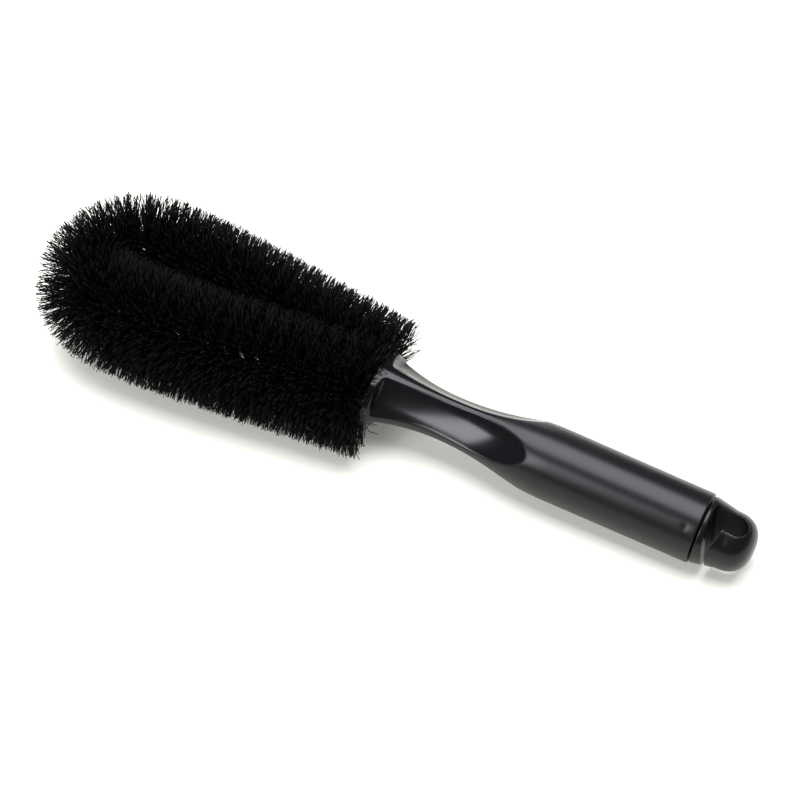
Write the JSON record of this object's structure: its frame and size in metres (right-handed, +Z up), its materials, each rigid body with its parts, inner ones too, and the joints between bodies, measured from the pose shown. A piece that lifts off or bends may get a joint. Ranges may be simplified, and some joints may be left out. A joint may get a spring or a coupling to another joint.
{
  "type": "wheel brush",
  "caption": "Hand brush for car wheels: filaments on a twisted wire loop, moulded handle with scooped neck, and a hook cap that turns.",
  "frame": {"origin": "on the table, under the middle of the brush as it lies", "axes": "+X along the brush towards the hook cap, +Z up, the wire loop lies across Y"},
  "size_m": [0.2774, 0.0748, 0.0444],
  "materials": {
    "handle_plastic": "satin",
    "cap_plastic": "semi-gloss",
    "steel": "zinc-plated wire",
    "filament": "nylon filaments"
  },
  "bodies": {
    "brush": {"handle_body": "handle_plastic", "stem_wire_a": "steel", "stem_wire_b": "steel", "stem_sleeve_far": "steel", "stem_sleeve_near": "steel", "far_bundle_1": "filament", "far_bundle_2": "filament", "far_bundle_3": "filament", "far_bundle_4": "filament", "far_bundle_5": "filament", "far_bundle_6": "filament", "far_bundle_7": "filament", "far_bundle_8": "filament", "near_bundle_1": "filament", "near_bundle_2": "filament", "near_bundle_3": "filament", "near_bundle_4": "filament", "near_bundle_5": "filament", "near_bundle_6": "filament", "near_bundle_7": "filament", "near_bundle_8": "filament", "bend_bundle_1": "filament", "bend_bundle_2": "filament", "bend_bundle_3": "filament", "bend_bundle_4": "filament"},
    "cap": {"hook_cap": "cap_plastic"}
  },
  "joints": [
    {"name": "cap_turn", "type": "hinge", "parent": "brush", "child": "cap", "pos_m": [0.11984, 0, 0.01254], "axis": [0.9991, 0, -0.0419], "continuous": true}
  ]
}
